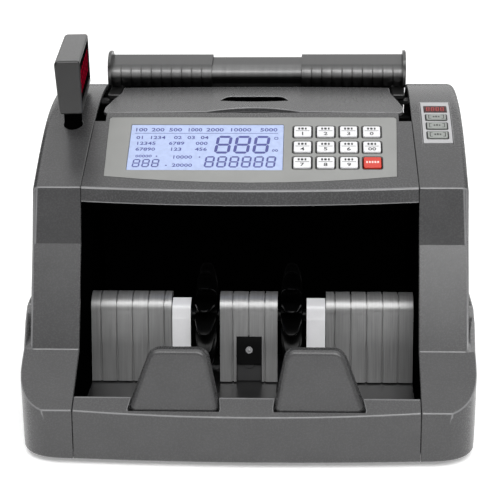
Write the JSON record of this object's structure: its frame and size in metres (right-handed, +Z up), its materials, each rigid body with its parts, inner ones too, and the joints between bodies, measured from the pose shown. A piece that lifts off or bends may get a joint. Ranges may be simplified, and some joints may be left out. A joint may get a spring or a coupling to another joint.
{
  "type": "banknote counting machine",
  "caption": "Benchtop banknote counter with rear hopper and note guides, hinged lid, keypad and LCD panel, swivelling display and a front stacker with impellers and note stops.",
  "frame": {"origin": "on the surface the feet stand on, under the middle of the bounding box", "axes": "+Z up, -Y towards the operator, +X to the operator's right"},
  "size_m": [0.29, 0.2464, 0.236],
  "materials": {
    "body_plastic": "fine-textured moulded grey",
    "dark_plastic": "black moulded",
    "black_steel": "black painted sheet",
    "overlay_film": "satin printed film, light grey",
    "lcd_glass": "lit pale blue-violet with dark blue segments",
    "key_plastic": "white satin",
    "red_key_plastic": "red satin",
    "grey_key_plastic": "grey satin",
    "red_window": "dark tinted window with red digits",
    "shaft_steel": "ground",
    "sheet_steel": "zinc plated sheet",
    "strip_metal": "satin anodised",
    "rubber": "black matt",
    "circuit_board": "green solder mask"
  },
  "bodies": {
    "chassis": {"base_tray": "sheet_steel", "foot_front_left": "rubber", "foot_front_right": "rubber", "foot_rear_left": "rubber", "foot_rear_right": "rubber", "left_frame_plate": "black_steel", "right_frame_plate": "black_steel", "left_side_housing": "body_plastic", "right_side_housing": "body_plastic", "front_cover": "body_plastic", "control_panel_cover": "body_plastic", "rear_cover": "body_plastic", "panel_overlay": "overlay_film", "lcd_module": "lcd_glass", "side_keypad": "overlay_film", "side_led_window": "red_window", "hopper_tray": "body_plastic", "stacker_plate_left": "body_plastic", "stacker_plate_centre": "body_plastic", "stacker_plate_right": "body_plastic", "guide_strip_left": "strip_metal", "guide_strip_right": "strip_metal", "sensor_block": "dark_plastic", "drive_belt": "rubber", "drive_motor": "shaft_steel", "chute_plate": "dark_plastic", "main_board": "circuit_board", "power_supply": "sheet_steel", "power_inlet": "dark_plastic"},
    "lid": {"top_cover": "body_plastic"},
    "customer_display": {"display_housing": "body_plastic", "display_window": "red_window"},
    "left_guide": {"left_note_guide": "body_plastic"},
    "right_guide": {"right_note_guide": "body_plastic"},
    "impeller_line": {"impeller_left": "rubber", "impeller_right": "rubber", "impeller_shaft": "shaft_steel", "impeller_pulley": "dark_plastic"},
    "feed_line": {"feed_shaft": "shaft_steel", "feed_roller": "rubber", "feed_pulley": "dark_plastic"},
    "motor_rotor": {"motor_pulley": "dark_plastic"},
    "left_stop": {"stop_paddle_left": "body_plastic"},
    "right_stop": {"stop_paddle_right": "body_plastic"},
    "rocker": {"power_switch": "dark_plastic"},
    "key_1_cap": {"key_1": "key_plastic"},
    "key_2_cap": {"key_2": "key_plastic"},
    "key_3_cap": {"key_3": "key_plastic"},
    "key_4_cap": {"key_4": "key_plastic"},
    "key_5_cap": {"key_5": "key_plastic"},
    "key_6_cap": {"key_6": "key_plastic"},
    "key_7_cap": {"key_7": "key_plastic"},
    "key_8_cap": {"key_8": "key_plastic"},
    "key_9_cap": {"key_9": "key_plastic"},
    "key_10_cap": {"key_10": "key_plastic"},
    "key_11_cap": {"key_11": "key_plastic"},
    "start_key_cap": {"start_key": "red_key_plastic"},
    "side_key_1_cap": {"side_key_1": "grey_key_plastic"},
    "side_key_2_cap": {"side_key_2": "grey_key_plastic"},
    "side_key_3_cap": {"side_key_3": "grey_key_plastic"}
  },
  "joints": [
    {"name": "lid_hinge", "type": "hinge", "parent": "chassis", "child": "lid", "pos_m": [0, 0.0832, 0.187], "axis": [-1, 0, 0], "range_deg": [0, 65]},
    {"name": "display_swivel", "type": "hinge", "parent": "chassis", "child": "customer_display", "pos_m": [-0.12069, 0.01807, 0.2], "axis": [0, 0, 1], "range_deg": [0, 180]},
    {"name": "left_guide_slide", "type": "slide", "parent": "chassis", "child": "left_guide", "axis": [1, 0, 0], "range_m": [0, 0.026]},
    {"name": "right_guide_slide", "type": "slide", "parent": "chassis", "child": "right_guide", "axis": [-1, 0, 0], "range_m": [0, 0.026]},
    {"name": "impeller_spin", "type": "hinge", "parent": "chassis", "child": "impeller_line", "pos_m": [0, -0.0048, 0.058], "axis": [1, 0, 0], "continuous": true},
    {"name": "feed_spin", "type": "hinge", "parent": "chassis", "child": "feed_line", "pos_m": [0, 0.1022, 0.17], "axis": [1, 0, 0], "continuous": true},
    {"name": "motor_spin", "type": "hinge", "parent": "chassis", "child": "motor_rotor", "pos_m": [-0.12, 0.0682, 0.038], "axis": [1, 0, 0], "continuous": true},
    {"name": "left_stop_tilt", "type": "hinge", "parent": "chassis", "child": "left_stop", "pos_m": [-0.045, -0.112, 0.036], "axis": [1, 0, 0], "range_deg": [0, 20], "stiffness_Nm_per_rad": 0.06, "springref_deg": -14.32},
    {"name": "right_stop_tilt", "type": "hinge", "parent": "chassis", "child": "right_stop", "pos_m": [0.045, -0.112, 0.036], "axis": [1, 0, 0], "range_deg": [0, 20], "stiffness_Nm_per_rad": 0.06, "springref_deg": -14.32},
    {"name": "power_rocker", "type": "hinge", "parent": "chassis", "child": "rocker", "pos_m": [0.0795, 0.1132, 0.034], "axis": [1, 0, 0], "range_deg": [0, 12]},
    {"name": "key_1_press", "type": "slide", "parent": "chassis", "child": "key_1_cap", "axis": [0, 0.4461, -0.895], "range_m": [0, 0.0008], "stiffness_N_per_m": 300, "springref_m": -0.001},
    {"name": "key_2_press", "type": "slide", "parent": "chassis", "child": "key_2_cap", "axis": [0, 0.4461, -0.895], "range_m": [0, 0.0008], "stiffness_N_per_m": 300, "springref_m": -0.001},
    {"name": "key_3_press", "type": "slide", "parent": "chassis", "child": "key_3_cap", "axis": [0, 0.4461, -0.895], "range_m": [0, 0.0008], "stiffness_N_per_m": 300, "springref_m": -0.001},
    {"name": "key_4_press", "type": "slide", "parent": "chassis", "child": "key_4_cap", "axis": [0, 0.4461, -0.895], "range_m": [0, 0.0008], "stiffness_N_per_m": 300, "springref_m": -0.001},
    {"name": "key_5_press", "type": "slide", "parent": "chassis", "child": "key_5_cap", "axis": [0, 0.4461, -0.895], "range_m": [0, 0.0008], "stiffness_N_per_m": 300, "springref_m": -0.001},
    {"name": "key_6_press", "type": "slide", "parent": "chassis", "child": "key_6_cap", "axis": [0, 0.4461, -0.895], "range_m": [0, 0.0008], "stiffness_N_per_m": 300, "springref_m": -0.001},
    {"name": "key_7_press", "type": "slide", "parent": "chassis", "child": "key_7_cap", "axis": [0, 0.4461, -0.895], "range_m": [0, 0.0008], "stiffness_N_per_m": 300, "springref_m": -0.001},
    {"name": "key_8_press", "type": "slide", "parent": "chassis", "child": "key_8_cap", "axis": [0, 0.4461, -0.895], "range_m": [0, 0.0008], "stiffness_N_per_m": 300, "springref_m": -0.001},
    {"name": "key_9_press", "type": "slide", "parent": "chassis", "child": "key_9_cap", "axis": [0, 0.4461, -0.895], "range_m": [0, 0.0008], "stiffness_N_per_m": 300, "springref_m": -0.001},
    {"name": "key_10_press", "type": "slide", "parent": "chassis", "child": "key_10_cap", "axis": [0, 0.4461, -0.895], "range_m": [0, 0.0008], "stiffness_N_per_m": 300, "springref_m": -0.001},
    {"name": "key_11_press", "type": "slide", "parent": "chassis", "child": "key_11_cap", "axis": [0, 0.4461, -0.895], "range_m": [0, 0.0008], "stiffness_N_per_m": 300, "springref_m": -0.001},
    {"name": "start_key_press", "type": "slide", "parent": "chassis", "child": "start_key_cap", "axis": [0, 0.4461, -0.895], "range_m": [0, 0.0008], "stiffness_N_per_m": 300, "springref_m": -0.001},
    {"name": "side_key_1_press", "type": "slide", "parent": "chassis", "child": "side_key_1_cap", "axis": [0, 0.3055, -0.9522], "range_m": [0, 0.0006], "stiffness_N_per_m": 300, "springref_m": -0.001},
    {"name": "side_key_2_press", "type": "slide", "parent": "chassis", "child": "side_key_2_cap", "axis": [0, 0.3613, -0.9325], "range_m": [0, 0.0006], "stiffness_N_per_m": 300, "springref_m": -0.001},
    {"name": "side_key_3_press", "type": "slide", "parent": "chassis", "child": "side_key_3_cap", "axis": [0, 0.4047, -0.9145], "range_m": [0, 0.0006], "stiffness_N_per_m": 300, "springref_m": -0.001}
  ],
  "couplings": [
    {"joint": "feed_spin", "follows": "impeller_spin", "ratio": 2},
    {"joint": "motor_spin", "follows": "impeller_spin", "ratio": 3}
  ]
}
